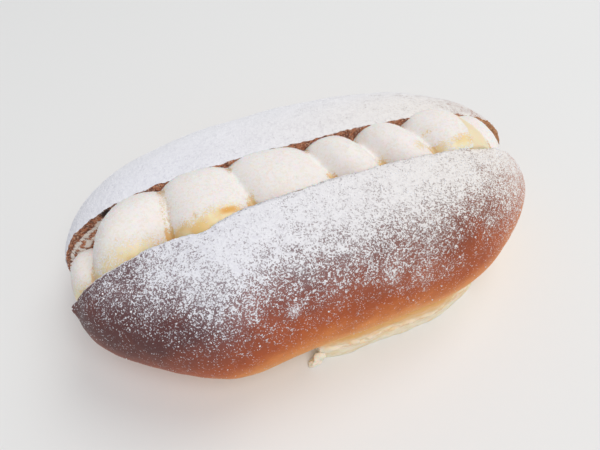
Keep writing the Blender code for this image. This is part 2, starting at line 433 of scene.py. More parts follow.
inside_slit, on_lip = on_walls(crust.data)
places = places_of(crust.data)
normals = normals_of(crust.data)
push = sum(depth * ripple(places, width, width / MM) for depth, width in DENTS)
push *= smooth_step(places[:, 2] / DENTS_FROM) * ~inside_slit * np.where(on_lip, DENTS_AT_LIP, 1.0)
places += normals * push[:, None]
rag = sum(depth * ripple(places, width) for depth, width in LIP_RAG)
places[:, 2] += np.where(on_lip, rag, 0.0)
along, across, height, reach, amount = HORN
apart = (places[:, 0] - along) ** 2 + (places[:, 1] - across) ** 2 + (places[:, 2] - height) ** 2
places[:, 0] -= amount * np.exp(-apart / reach**2) * ~inside_slit
put_places(crust.data, places)
print(f"dents from {push.min() / MM:.2f} to {push.max() / MM:.2f} mm; {on_lip.sum()} points on the lips")

# %% [markdown]
# ## Where the icing sugar lies
#
# Icing sugar falls straight down, so it lies thick where the crust faces up and thins out where the crust
# turns away. One number at each point says how much lies there. It follows the upward part of the normal,
# and drifts and bare patches of named places, sizes and strengths make it as uneven as a real dusting. More
# fell on the far lobe than on the near one.

# %% Cover of sugar on the crust
NEAR_COVER = (-0.10, 1.00, (0.48, 2), (0.40, 9))  # from which upward part of the normal, to which, and how
FAR_COVER = (0.05, 0.62, 1.03)  # the same in a straight line, up to this much
MOST_COVER = 1.2
STRAY = 0.01  # a little sugar lies everywhere on the near lobe
LEFT_THINNING = (0.038, 0.062, 0.36)  # its dusting thins from here to here, leftwards, by this share
RIGHT_DRIFT = (0.038, 0.070, 0.48)  # and thickens towards the right end, where the crust faces
DRIFT_FACES = (-0.1, 0.7)  # upwards by this much
FAR_THINNING = (0.030, 0.076, 0.34)  # the far lobe's dusting thins towards the right end
FAR_PATCHES = (0.30, 0.0042, -0.010, 0.020)  # and has bare patches this deep and wide, which set in here
HALF_GAP = 0.004  # the one cover passes into the other within this distance of the middle
LIP_COVER = 0.85  # the torn lips hold a line of sugar
PATCHY = ((0.10, 0.0090), (0.10, 0.0034))  # how uneven, and how wide the patches are
MOST_UNEVEN = 1.25  # cover at which, as where there is none, the patches have died away

# Drifts and bare spots of the near lobe: place along the bun, height, radius, and how much more lies there.
DRIFTS = (
    (-0.0350, 0.0430, 0.0060, 0.06),
    (-0.0210, 0.0395, 0.0016, 0.50),
    (-0.0080, 0.0440, 0.0075, 0.05),
    (0.0080, 0.0395, 0.0035, 0.22),
    (0.0180, 0.0375, 0.0055, 0.16),
    (0.0270, 0.0350, 0.0040, 0.12),
    (0.0350, 0.0400, 0.0055, -0.08),
    (0.0480, 0.0430, 0.0050, -0.06),
)


def sugar_cover(places, normals):
    x, y, z = places.T
    up = normals[:, 2]
    low, high, *parts = NEAR_COVER
    near = STRAY + sum(amount * ramp(up, low, high) ** power for amount, power in parts)
    start, end, share = LEFT_THINNING
    near *= 1 - share * fade(-x, start, end)
    start, end, amount = RIGHT_DRIFT
    near += (1 - near) * amount * fade(x, start, end) * ramp(up, *DRIFT_FACES)
    for along, height, radius, amount in DRIFTS:
        apart = (x - along) ** 2 + (z - height) ** 2
        near += amount * np.exp(-apart / radius**2)
    low, high, most = FAR_COVER
    far = most * ramp(up, low, high)
    start, end, share = FAR_THINNING
    far *= 1 - share * fade(x, start, end)
    amount, width, start, end = FAR_PATCHES
    far -= amount * fade(x, start, end) * np.clip(ripple(places, width, 2.0), 0.0, 1.0)
    cover = near + (far - near) * fade(y, -HALF_GAP, HALF_GAP)
    uneven = sum(amount * ripple(places, width, 5.0) for amount, width in PATCHY)
    return np.clip(cover + uneven * np.clip(4 * cover * (MOST_UNEVEN - cover), 0.0, 1.0), 0.0, MOST_COVER)


normals = normals_of(crust.data)
cover = sugar_cover(places, normals)
cover[inside_slit] = 0.0
cover[on_lip] = np.maximum(cover[on_lip], LIP_COVER)
paint(crust.data, "sugar", cover)
print(f"sugar covers {cover[~inside_slit].mean():.0%} of the crust's points")

# %% [markdown]
# ## How dark the crust is baked
#
# Heat from above bakes the top of a bun dark, while the foot, where its neighbours stood against it, stays
# pale gold. The left end is darkest of all, partly baked darker and partly painted shade, as it faces away from
# the light; and the crust is palest just above the torn strip. A second number at each point holds that, from
# 0 at the pale foot to 1 at the darkest.

# %% Darkness of the crust
PALE_BELOW = 0.0040
DARK_ABOVE = 0.0500
LEFT_BAKE_AND_SHADE = (0.026, 0.070, 0.42)  # darker from here to here towards the left end, by this much: part bake, part painted shade
RIGHT_PALING = (0.040, 0.072, 0.12)  # and paler towards the right end
BAKE_PATCHES = (0.05, 0.0120)
GOLD_EDGE = ((-0.0180, 0.0600), 0.0125, 0.24)  # palest between these places and up to here, by this much
GOLD_FADE = (0.006, 0.004)  # how far it takes to fade, along the bun and upwards

x, y, z = places.T
bake = (z - PALE_BELOW) / (DARK_ABOVE - PALE_BELOW)
# The left end's darkening is partly baked colour and partly painted shade.
start, end, amount = LEFT_BAKE_AND_SHADE
bake += amount * fade(-x, start, end)
start, end, amount = RIGHT_PALING
bake -= amount * fade(x, start, end)
bake += BAKE_PATCHES[0] * ripple(places, BAKE_PATCHES[1], 9.0)
(left, right), height, amount = GOLD_EDGE
along, upwards = GOLD_FADE
beside = smooth_step((x - left) / along) * smooth_step((right - x) / along) * (y < 0)
bake -= amount * beside * (1 - smooth_step((z - height) / upwards))
paint(crust.data, "bake", np.clip(bake, 0.0, 1.0))
print(f"bake runs from {bake.min():.2f} to {bake.max():.2f}")

# %% [markdown]
# ## Materials from nodes
#
# Each finish is a small tree of nodes. These helpers add one node each and return the socket that carries its
# result, so a finish reads like a recipe: noise, a threshold, a mix of two colours, a bump.


# %% Node helpers
def colour(red, green, blue):
    """A colour as it is seen, from 0 to 255, turned into the light that a shader wants."""
    shares = [value / 255 for value in (red, green, blue)]
    return (*[((s + 0.055) / 1.055) ** 2.4 if s > 0.04 else s / 12.92 for s in shares], 1.0)


def feed(tree, socket, value):
    if isinstance(value, bpy.types.NodeSocket):
        tree.links.new(value, socket)
    else:
        socket.default_value = value


def add_node(tree, kind, values=(), **settings):
    node = tree.nodes.new(kind)
    for name, value in settings.items():
        setattr(node, name, value)
    for key, value in dict(values).items():
        feed(tree, node.inputs[key], value)
    return node


def start_finish(material):
    material.use_nodes = True
    tree = material.node_tree
    return tree, tree.nodes["Principled BSDF"], add_node(tree, "ShaderNodeTexCoord").outputs["Object"]


def grain(tree, where, size, detail=2.0, roughness=0.5):
    """Noise from 0 to 1, whose grains are about size across."""
    values = {"Vector": where, "Scale": 1 / size, "Detail": detail, "Roughness": roughness}
    return add_node(tree, "ShaderNodeTexNoise", values).outputs["Fac"]


def painted(tree, name):
    return add_node(tree, "ShaderNodeAttribute", attribute_name=name).outputs["Fac"]


def maths(tree, operation, first, second=0.0, third=0.0):
    values = {0: first, 1: second, 2: third}
    return add_node(tree, "ShaderNodeMath", values, operation=operation).outputs[0]


def step_between(tree, value, low, high, start=0.0, end=1.0):
    values = {"Value": value, "From Min": low, "From Max": high, "To Min": start, "To Max": end}
    node = add_node(tree, "ShaderNodeMapRange", values, interpolation_type="SMOOTHSTEP")
    return node.outputs["Result"]


def mix(tree, share, first, second):
    values = {0: share, 6: first, 7: second}
    return add_node(tree, "ShaderNodeMix", values, data_type="RGBA").outputs[2]


def shades(tree, value, stops):
    node = add_node(tree, "ShaderNodeValToRGB", {"Fac": value})
    ramp_stops = node.color_ramp.elements
    while len(ramp_stops) < len(stops):
        ramp_stops.new(1.0)
    for stop, (place, shade) in zip(ramp_stops, stops):
        stop.position = place
        stop.color = shade
    return node.outputs["Color"]


def bumps(tree, height, distance, strength=1.0, under=None):
    values = {"Height": height, "Distance": distance, "Strength": strength}
    if under is not None:
        values["Normal"] = under
    return add_node(tree, "ShaderNodeBump", values).outputs["Normal"]


def cells(tree, where, size):
    """A random number from 0 to 1 for each of many small cells, which are about size across."""
    values = {"Vector": where, "Scale": 1 / size}
    shade = add_node(tree, "ShaderNodeTexVoronoi", values).outputs["Color"]
    return add_node(tree, "ShaderNodeSeparateColor", {"Color": shade}).outputs["Red"]


def shaken(tree, where, size, distance):
    """Moves the coordinates about a little, so that cells get ragged edges."""
    values = {"Vector": where, "Scale": 1 / size, "Detail": 1.0}
    shake = add_node(tree, "ShaderNodeTexNoise", values).outputs["Color"]
    values = {0: shake, 1: (distance,) * 3, 2: where}
    return add_node(tree, "ShaderNodeVectorMath", values, operation="MULTIPLY_ADD").outputs[0]


def sugar_grains(tree, where, cover):
    """Where grains of sugar lie, from 0 to 1: specks of two sizes, more of them where the cover is thick."""
    ragged = shaken(tree, where, SPECKS[0][1], SPECKS[0][1])
    total = cover
    for contrast, size in SPECKS:
        uneven = maths(tree, "MULTIPLY_ADD", cells(tree, ragged, size), contrast, -contrast / 2)
        total = maths(tree, "ADD", total, uneven)
    drifts = grain(tree, where, SPECK_DRIFT, 2.0, 0.5)
    uneven = maths(tree, "MULTIPLY_ADD", drifts, DRIFT_CONTRAST, -DRIFT_CONTRAST / 2)
    total = maths(tree, "ADD", total, uneven)
    return step_between(tree, total, 0.5 - SPECK_EDGE, 0.5 + SPECK_EDGE)


# %% [markdown]
# ## The baked crust
#
# Under the sugar the crust is thin and brown, from a pale gold foot to a dark red-brown top. Most of the sugar
# is far too fine to model grain by grain, so specks of it are a threshold on noise: the painted cover lifts
# the noise, and where it passes the threshold there is sugar. A film of dust greys the crust between the
# specks, and where the sugar is thick it all but hides the crust. The sugar and its dust are painted a little
# bluer at the left end, as painted shade, and warmer at the right one, as painted light from the warm lamp on
# that side; and the sugar on the far slope is painted whitest, as painted light.

# %% Finish of the crust
SPECKS = ((0.72, 0.00032), (0.32, 0.00060))  # contrast and size of the two kinds of speck
SPECK_DRIFT = 0.0030  # the specks gather in drifts of this size
DRIFT_CONTRAST = 0.5
SPECK_EDGE = 0.13  # how soft their edges are
FILM = 0.30  # how far the film of dust covers the crust where the sugar is full
THICK = (2.7, 0.92)  # thick sugar between the specks follows this power of the cover, up to this much
SHADE_TO_LIGHT_FROM, SHADE_TO_LIGHT_TO = -0.055, 0.065  # painted light: the tint passes from cool shade at the left to warm light at the right between these places
FAR_SLOPE_LIGHT = (0.014, 0.036, 0.75)  # painted light: the far slope is painted whitest from here to here across the bun, by this much
MOTTLE = (0.0070, 0.24)  # size and contrast of the blotches in the bake
SCORCH = 0.16  # strength of the finest dark flecks

SUGAR = (colour(234, 234, 240), colour(236, 231, 226))  # painted light: cooler, as in shade, at the left end and warmer, as in the light, at the right end
# The thin sugar is painted the same way: cooler in shade at the left end, warmer in the light at the right.
THIN_SUGAR = (colour(223, 222, 231), colour(222, 215, 210))
# Painted light: the white of the far slope.
PAINTED_LIGHT_WHITE = colour(246, 246, 250)
CRUST_SHADES = (
    (0.00, colour(250, 198, 122)),
    (0.22, colour(243, 170, 88)),
    (0.42, colour(226, 134, 54)),
    (0.52, colour(202, 106, 38)),
    (0.62, colour(178, 82, 28)),
    (0.80, colour(138, 64, 38)),
    (1.00, colour(90, 48, 44)),
)
SCORCHED = colour(92, 44, 30)
# The dust film, too, is painted cooler in shade at the left end and warmer in the light at the right.
DUST = (colour(196, 184, 200), colour(204, 182, 158))

tree, shader, where = start_finish(crust_finish)
cover = painted(tree, "sugar")
size, contrast = MOTTLE
mottle = maths(tree, "MULTIPLY_ADD", grain(tree, where, size, 3.0, 0.6), contrast, -contrast / 2)
brown = shades(tree, maths(tree, "ADD", painted(tree, "bake"), mottle), CRUST_SHADES)
fine = grain(tree, where, 0.0011, 4.0, 0.7)
brown = mix(tree, step_between(tree, fine, 0.40, 0.75, 0.0, SCORCH), brown, SCORCHED)
place = add_node(tree, "ShaderNodeSeparateXYZ", {"Vector": where}).outputs
# Painted light: sugar, thin sugar and dust pass from their shaded colours at the left end to their lit ones.
along = step_between(tree, place["X"], SHADE_TO_LIGHT_FROM, SHADE_TO_LIGHT_TO)
low, high, amount = FAR_SLOPE_LIGHT
behind = step_between(tree, place["Y"], low, high)
sugar, thin_sugar, dust = (mix(tree, along, *ends) for ends in (SUGAR, THIN_SUGAR, DUST))
film = maths(tree, "MULTIPLY", cover, FILM)
brown = mix(tree, film, brown, dust)
power, most = THICK
thick = maths(tree, "MULTIPLY", maths(tree, "POWER", cover, power), most)
brown = mix(tree, thick, brown, thin_sugar)
grains = sugar_grains(tree, where, cover)
thin = maths(tree, "MULTIPLY", cells(tree, where, 0.00060), grain(tree, where, 0.0026, 3.0, 0.6))
white = mix(tree, step_between(tree, thin, 0.26, 0.52, 0.0, 0.7), sugar, thin_sugar)
# Painted light: the sugar on the far slope is made whiter.
white = mix(tree, maths(tree, "MULTIPLY", behind, amount), white, PAINTED_LIGHT_WHITE)
feed(tree, shader.inputs["Base Color"], mix(tree, grains, brown, white))
roughness = step_between(tree, maths(tree, "MAXIMUM", grains, film), 0.0, 0.6, 0.50, 0.9)
feed(tree, shader.inputs["Roughness"], roughness)
shader.inputs["Specular IOR Level"].default_value = 0.25
drifts = maths(tree, "MULTIPLY", cover, grain(tree, where, 0.0018, 4.0, 0.65))
skin = bumps(tree, drifts, 0.0007, 0.6, bumps(tree, fine, 0.00012, 0.5))
feed(tree, shader.inputs["Normal"], bumps(tree, grains, 0.00022, 0.8, skin))
print("baked crust:", len(tree.nodes), "nodes")

# %% [markdown]
# ## The torn walls of the slit
#
# The walls are crumb that browned in the oven and then tore: rough, red-brown, with darker pits and paler
# bits. Pale streaks show on the far wall near its left end, with the painted shade of one hole there, and its
# right end is golden.

# %% Streaks and the pale rim on the walls
# Pale streaks: from where to where they set in, how deep below the lip they lie, and how wide they are.
STREAKS = (-0.0575, -0.0640, (0.0036, 0.0066), 0.0010)
STREAK_WANDER = 0.0011
HOLE = (-0.0631, 0.0010, 0.0020, 0.0013)  # painted shade of a hole: place along, depth below the lip, and reach along and down
RIM = 0.0011  # the near lip is edged with pale crumb and sugar this deep
GOLDEN = (0.0600, 0.0120)  # towards the right end the far wall turns golden from here, within this length

x, y, z = places.T
far_crest = np.array([crest(FAR, value) for value in x + MIDDLE[0]])
start, end, depths, width = STREAKS
below = far_crest - z + STREAK_WANDER * ripple(places * (0.3, 1, 1), 0.0022, 6.0)
streaks = sum(np.exp(-(((below - depth) / width) ** 2)) for depth in depths)
paint(crust.data, "streaks", streaks * fade(x, start, end) * (y > 0))
along, depth, reach_along, reach_down = HOLE
hole_shade = np.exp(-(((x - along) / reach_along) ** 4) - ((far_crest - z - depth) / reach_down) ** 4)
paint(crust.data, "hole_shade", hole_shade * (y > 0))
near_crest = np.array([crest(NEAR, value) for value in x + MIDDLE[0]])
paint(crust.data, "rim", (y < 0) * (1 - smooth_step((near_crest - z) / RIM)))
paint(crust.data, "golden", (y > 0) * smooth_step((x - GOLDEN[0]) / GOLDEN[1]))

# %% Finish of the torn walls
WALL_BROWN = colour(184, 118, 84)
WALL_DARK = colour(114, 68, 52)
WALL_PALE = colour(216, 178, 152)
WALL_WHITE = colour(236, 228, 220)
WALL_GOLD = colour(226, 168, 110)
HOLE_SHADE = colour(38, 24, 22)

tree, shader, where = start_finish(wall_finish)
lumps = grain(tree, where, 0.0013, 4.0, 0.7)
flecks = grain(tree, where, 0.00055, 3.0, 0.6)
tone = mix(tree, step_between(tree, lumps, 0.42, 0.58), WALL_DARK, WALL_BROWN)
tone = mix(tree, step_between(tree, flecks, 0.51, 0.64, 0.0, 0.85), tone, WALL_PALE)
streaks = maths(tree, "MULTIPLY_ADD", grain(tree, where, 0.0012, 3.0, 0.7), 0.9, painted(tree, "streaks"))
tone = mix(tree, step_between(tree, streaks, 0.85, 1.15), tone, WALL_WHITE)
tone = mix(tree, maths(tree, "MULTIPLY", painted(tree, "golden"), 0.4), tone, WALL_GOLD)
tone = mix(tree, painted(tree, "rim"), tone, WALL_WHITE)
# Painted shade: a near-black patch where a hole in the far wall would be dark.
tone = mix(tree, painted(tree, "hole_shade"), tone, HOLE_SHADE)
feed(tree, shader.inputs["Base Color"], tone)
shader.inputs["Roughness"].default_value = 0.85
feed(tree, shader.inputs["Normal"], bumps(tree, maths(tree, "ADD", lumps, flecks), 0.0006, 0.9))
print("torn walls:", len(tree.nodes), "nodes")

# %% [markdown]
# ## Torn crumb at the foot
#
# Buns that rise side by side touch, and pulling them apart tears a strip of pale crumb out of the crust. The
# strip is a finely divided slab whose front follows the same named line as the imported solid. Three sizes of
# noise, stretched along the bun, turn the front into torn strands; the shade of one long groove along the
# middle is painted in the crumb's finish.

# %% Sizes of the torn strip
TEAR_LEFT = -0.0130
TEAR_RIGHT = 0.0470
TEAR_FRONT = -0.0408
TEAR_BACK = -0.0270
TEAR_HEIGHT = 0.0122
TEAR_HEIGHT_AT_ENDS = 0.0055
TEAR_CURVE = 1.5
LEFT_TURN = (-0.0020, 0.0020)  # from here the face turns in towards the left end, by this much
RIGHT_TURN = (0.0270, 0.0054)
LEDGE = (0.45, 0.0008)  # share of the height where the face steps back, and by how much
LEDGE_RAG = (0.16, 0.0040)  # how ragged that step is, and how wide its nicks are
LEDGE_STEEPNESS = 9
STRANDS = ((0.0005, 0.0045), (0.00022, 0.0016), (0.00010, 0.0006))  # how deep, and how high
STRETCH = 2.6  # times their height, their length
TEAR_COLUMNS = 300
TEAR_ROWS = 44


def torn_face(x, z):
    left_start, left_depth = LEFT_TURN
    right_start, right_depth = RIGHT_TURN
    y = TEAR_FRONT
    y += left_depth * ramp(x, left_start, TEAR_LEFT) ** TEAR_CURVE
    y += right_depth * ramp(x, right_start, TEAR_RIGHT) ** TEAR_CURVE
    level, step = LEDGE
    amount, width = LEDGE_RAG
    ragged = amount * noise.noise(Vector((x / width, 0.0, 0.0)))
    y += step * smooth_step((z / TEAR_HEIGHT - level + ragged) * LEDGE_STEEPNESS)
    for depth, size in STRANDS:
        y += depth * noise.noise(Vector((x / STRETCH, 0.0, z)) / size)
    return y


# %% Torn strip
bm = bmesh.new()
bmesh.ops.create_cube(bm, size=2.0)
for axis, cuts in ((0, TEAR_COLUMNS - 1), (2, TEAR_ROWS - 1)):
    edges = [e for e in bm.edges if abs(e.verts[0].co[axis] - e.verts[1].co[axis]) > 1]
    bmesh.ops.subdivide_edges(bm, edges=edges, cuts=cuts)
for vert in bm.verts:
    x = TEAR_LEFT + (TEAR_RIGHT - TEAR_LEFT) * (vert.co.x + 1) / 2
    top = TEAR_HEIGHT_AT_ENDS + (TEAR_HEIGHT - TEAR_HEIGHT_AT_ENDS) * round_off(vert.co.x, UNDER_POWER)
    z = top * (vert.co.z + 1) / 2
    vert.co = (x, torn_face(x, z) if vert.co.y < 0 else TEAR_BACK, z)
torn_crumb = object_from(bm, "torn_crumb")
torn_crumb.data.transform(Matrix.Translation(-Vector(MIDDLE)))
shade_smooth(torn_crumb.data)
report(torn_crumb)

# %% Flap of crumb
FLAP_TOP = (-0.0132, -0.0396, 0.0043)
FLAP_LEAN = (-0.0022, -0.0004)  # how far its foot stands off its top, along and across the bun
FLAP_WIDTH = (0.0036, 0.0042)  # at the top and at the foot
FLAP_THICKNESS = 0.0018
FLAP_ROUGHNESS = ((0.0009, 0.0030), (0.0003, 0.0011), (0.00010, 0.0005))
FLAP_CUTS = 22

bm = bmesh.new()
bmesh.ops.create_cube(bm, size=1.0)
bmesh.ops.subdivide_edges(bm, edges=bm.edges[:], cuts=FLAP_CUTS, use_grid_fill=True)
for vert in bm.verts:
    across, through, up = vert.co.lerp(vert.co.normalized() * 0.55, 0.35)
    drop = max(0.5 - up, 0.0)
    place = Vector(FLAP_TOP)
    place.x += FLAP_LEAN[0] * drop + across * (FLAP_WIDTH[0] + (FLAP_WIDTH[1] - FLAP_WIDTH[0]) * drop)
    place.y += FLAP_LEAN[1] * drop**1.5 + through * FLAP_THICKNESS
    place.z *= 1 - drop
    for depth, width in FLAP_ROUGHNESS:
        shifts = [noise.noise(place / width + Vector((0, 0, axis))) for axis in range(3)]
        place += depth * Vector(shifts)
    vert.co = (place.x, place.y, max(place.z, 0.0))
flap = object_from(bm, "crumb_flap")
flap.data.transform(Matrix.Translation(-Vector(MIDDLE)))
shade_smooth(flap.data)
report(flap)

# %% Finish of the crumb
CRUMB = colour(248, 236, 212)
CRUMB_WARM = colour(240, 216, 170)
CRUMB_PIT = colour(204, 164, 116)
CRUMB_EDGE = colour(234, 176, 106)  # where the strip meets the crust
CRUMB_FLAP = colour(244, 236, 220)
GROOVE_SHADE = (0.0038, 0.0005, 0.45)  # painted shade of a groove: its height, half width and strength
EDGE = (0.0062, 0.0135)  # from this height to this one the strip turns golden
FLAP_END = (-0.0125, -0.0105)  # the flap's tone passes into the strip's between these places
GROOVE_SHADE_END = (-0.0100, -0.0060)  # and the painted groove shade starts between these

crumb_finish = bpy.data.materials.new("pale_crumb")
tree, shader, where = start_finish(crumb_finish)
turned = add_node(tree, "ShaderNodeMapping", {"Vector": where, "Scale": (0.4, 1.0, 1.0)}).outputs["Vector"]
strands = grain(tree, turned, 0.0022, 4.0, 0.65)
pits = grain(tree, turned, 0.0009, 3.0, 0.6)
parts = add_node(tree, "ShaderNodeSeparateXYZ", {"Vector": where}).outputs
edge = step_between(tree, maths(tree, "MULTIPLY_ADD", strands, 0.004, parts["Z"]), *EDGE)
# Painted shade: a darker line along the strip, standing for the shade in a groove.
height, width, strength = GROOVE_SHADE
level = maths(tree, "MULTIPLY_ADD", strands, -0.0040, maths(tree, "SUBTRACT", parts["Z"], height))
groove_shade = step_between(tree, maths(tree, "ABSOLUTE", level), 0.0, width, strength, 0.0)
groove_shade = maths(tree, "MULTIPLY", groove_shade, step_between(tree, parts["X"], *GROOVE_SHADE_END))
tone = mix(tree, step_between(tree, strands, 0.44, 0.64, 0.0, 0.8), CRUMB, CRUMB_WARM)
tone = mix(tree, step_between(tree, pits, 0.62, 0.74, 0.0, 0.22), tone, CRUMB_PIT)
tone = mix(tree, groove_shade, tone, CRUMB_PIT)
tone = mix(tree, step_between(tree, parts["X"], *FLAP_END, 0.8, 0.0), tone, CRUMB_FLAP)
tone = mix(tree, edge, tone, CRUMB_EDGE)
feed(tree, shader.inputs["Base Color"], tone)
shader.inputs["Roughness"].default_value = 0.75
shader.inputs["Subsurface Weight"].default_value = 0.25
shader.inputs["Subsurface Scale"].default_value = 0.0015
feed(tree, shader.inputs["Normal"], bumps(tree, maths(tree, "ADD", strands, pits), 0.0004, 0.6))
for piece in (torn_crumb, flap):
    piece.data.materials.append(crumb_finish)
print("pale crumb:", len(tree.nodes), "nodes")

# %% [markdown]
# ## The mounds of cream
#
# The cream was piped as a row of overlapping mounds along the slit. Each mound is a rounded box made from a
# sphere, and slants as the nozzle was drawn. They overlap a long core below them, and a voxel remesh melts
# the whole row into one skin. A little smoothing softens the creases, and then every point is kept inside
# the slit.

# %% Sizes of the mounds
# Middle along and across the bun, half length and width, height of the top, how far below it the mound is
# widest, how far it slants along the bun for each metre across, and the power of its roundness.
Mound = namedtuple("Mound", "x y half_length half_width top depth slant power")
MOUNDS = (
    Mound(-0.0721, 0.0020, 0.0084, 0.0125, 0.0326, 0.014, 0.06, 2.3),
    Mound(-0.0546, 0.0020, 0.0150, 0.0160, 0.0502, 0.022, -0.27, 2.2),
    Mound(-0.0328, 0.0022, 0.0160, 0.0185, 0.0510, 0.022, 0.10, 2.6),
    Mound(-0.0102, 0.0024, 0.0176, 0.0185, 0.0515, 0.022, 0.24, 2.7),
    Mound(0.0108, 0.0023, 0.0127, 0.0178, 0.0515, 0.022, 0.30, 2.2),
    Mound(0.0288, 0.0025, 0.0124, 0.0182, 0.0507, 0.022, 0.33, 2.3),
    Mound(0.0472, 0.0024, 0.0153, 0.0182, 0.0500, 0.022, 0.24, 2.35),
    Mound(0.0584, 0.0024, 0.0147, 0.0172, 0.0432, 0.022, -0.04, 2.4),
)
CORE = Mound(0.0, 0.0022, 0.0730, 0.0150, 0.0420, 0.034, 0.0, 2.4)
FOOT_GAP = 0.0005  # between a mound's foot and the slit's floor
LEAST_FOOT = 0.0020  # a mound is widest at least this far above its foot
MOUND_SEGMENTS = 72
MOUND_RINGS = 48
VOXEL = 0.00058  # size of the remesh
SOFTEN = 3  # rounds of smoothing
CREAM_PRESS = 0.0004  # the cream is pressed this far into the crags of the walls


def make_mound(name, mound):
    """One mound, whose widest level lies its depth below its top, and which ends on the slit's floor."""
    bm = bmesh.new()
    bmesh.ops.create_uvsphere(bm, u_segments=MOUND_SEGMENTS, v_segments=MOUND_RINGS, radius=1.0)
    bottom = slit_floor(mound.x) + FOOT_GAP
    level = max(mound.top - mound.depth, bottom + LEAST_FOOT)
    for vert in bm.verts:
        along, across, up = (signed_power(share, 2 / mound.power) for share in vert.co)
        y = across * mound.half_width
        x = mound.x + along * mound.half_length - mound.slant * y
        z = level + up * (mound.top - level if up > 0 else level - bottom)
        vert.co = (x, mound.y + y, z)
    return object_from(bm, name)


# %% Melt the mounds into one row
cream = make_mound("cream_row", CORE)
row = bpy.data.collections.new("row")
for number, mound in enumerate(MOUNDS):
    row.objects.link(make_mound(f"mound_{number}", mound))
unite = cream.modifiers.new("unite", "BOOLEAN")
unite.operation = "UNION"
unite.solver = "EXACT"
unite.operand_type = "COLLECTION"
unite.collection = row
apply_modifiers(cream)
for mound in list(row.objects):
    bpy.data.objects.remove(mound)
bpy.data.collections.remove(row)
report(cream)

melt = cream.modifiers.new("melt", "REMESH")
melt.mode = "VOXEL"
melt.voxel_size = VOXEL
soften = cream.modifiers.new("soften", "SMOOTH")
soften.iterations = SOFTEN
apply_modifiers(cream)
report(cream)


# %% Keep the cream inside the slit
def keep_in_slit(places):
    """Draws the points in to the slit's walls and floor, as cream pressed into the slit would lie."""
    x, y, z = places.T
    for lobe in (NEAR, FAR):
        along = np.clip((x - lobe.centre) / lobe.length, -1, 1)
        wall = lip(lobe, along) * slit_opening(lobe, z) + SLIT_TRIM + CREAM_PRESS
        wall = lobe.side * np.maximum(wall, 0.0) - pressed_out(lobe, x, z)
        y = np.minimum(y, wall) if lobe.side > 0 else np.maximum(y, wall)
    floors = np.array([slit_floor(value) for value in x])
    return np.column_stack((x, y, np.maximum(z, floors)))


CREAM_LUMPS = ((0.00030, 0.0090), (0.00010, 0.0030))
places = places_of(cream.data)
normals = normals_of(cream.data)
push = sum(depth * ripple(places, width, 3.0) for depth, width in CREAM_LUMPS)
places = keep_in_slit(places + normals * push[:, None]) - np.array(MIDDLE)
put_places(cream.data, places)
shade_smooth(cream.data)
report(cream)

# %% [markdown]
# ## Creases, sugar and bare cream
#
# Four numbers are painted on the cream: how deep in a crease a point lies, which comes from how far it stands
# below its neighbours; how thick the sugar is, which again follows the upward part of the normal; where the
# cream broke open and shines; and where a whole wedge of sugar was scraped off.


# %% Paint the cream
def crease_depth(mesh, places, normals, rounds=4):
    """How far each point stands below the mean of the points around it, spread over a few rounds."""
    ends = np.empty(2 * len(mesh.edges), dtype=np.int64)
    mesh.edges.foreach_get("vertices", ends)
    first, second = ends.reshape(-1, 2).T
    count = np.bincount(ends, minlength=len(places))

    def mean_of_neighbours(values):
        total = np.bincount(first, values[second], len(places))
        total += np.bincount(second, values[first], len(places))
        return total / np.maximum(count, 1)

    means = np.column_stack([mean_of_neighbours(places[:, axis]) for axis in range(3)])
    depth = ((means - places) * normals).sum(1)
    for _ in range(rounds):
        depth = mean_of_neighbours(depth)
    return depth


CREAM_COVER = (0.05, 0.50, 1.25)  # from which upward part of the normal to which, and the most sugar
CREASE_SHARE = 96  # creases at this percentile of their depth count as full
CREASE_BARES = 0.95  # a full crease is bared of this much sugar
CREASES_ACROSS = (0.35, 0.0030, 0.0050)  # they are weak in the middle of the slit, and full beyond these
CREASES_LEFT = 0.85  # but strong all across towards the left end
DEEP_CREASES = -0.0360  # the creases are plain to see as far as here from the left end
# Bare spots on the cream: place along and across the bun, reach along and across, and how bare it is.
BARE_SPOTS = (
    (-0.0660, -0.0112, 0.0110, 0.0066, 0.70),
    (-0.0545, -0.0118, 0.0070, 0.0044, 0.40),
    (-0.0385, -0.0115, 0.0170, 0.0050, 1.30),
    (-0.0440, -0.0100, 0.0024, 0.0032, 0.90),
    (-0.0285, -0.0085, 0.0050, 0.0025, 0.60),
    (-0.0782, -0.0076, 0.0060, 0.0062, 0.90),
    (-0.0207, -0.0058, 0.0016, 0.0042, 0.60),
    (0.0036, -0.0060, 0.0022, 0.0026, 0.75),
    (0.0213, -0.0056, 0.0030, 0.0030, 0.90),
    (0.0345, -0.0055, 0.0036, 0.0030, 0.80),
    (0.0400, -0.0006, 0.0019, 0.0014, 0.80),
    (0.0405, -0.0072, 0.0026, 0.0022, 0.95),
    (0.0488, -0.0080, 0.0062, 0.0028, 1.25),
    (0.0680, -0.0070, 0.0042, 0.0040, 0.45),
)
# A wedge where the sugar fell off: its top, the slant of its left edge, and slant and end of its right one.
WEDGE = (0.0532, 0.0060, 0.12, -1.60, 0.0600)
# Where the cream broke open and shines, in the same order.
GLAZE_SPOTS = (
    (-0.0285, -0.0084, 0.0027, 0.0009, 1.0),
    (-0.0380, -0.0067, 0.0004, 0.0011, 0.7),
)

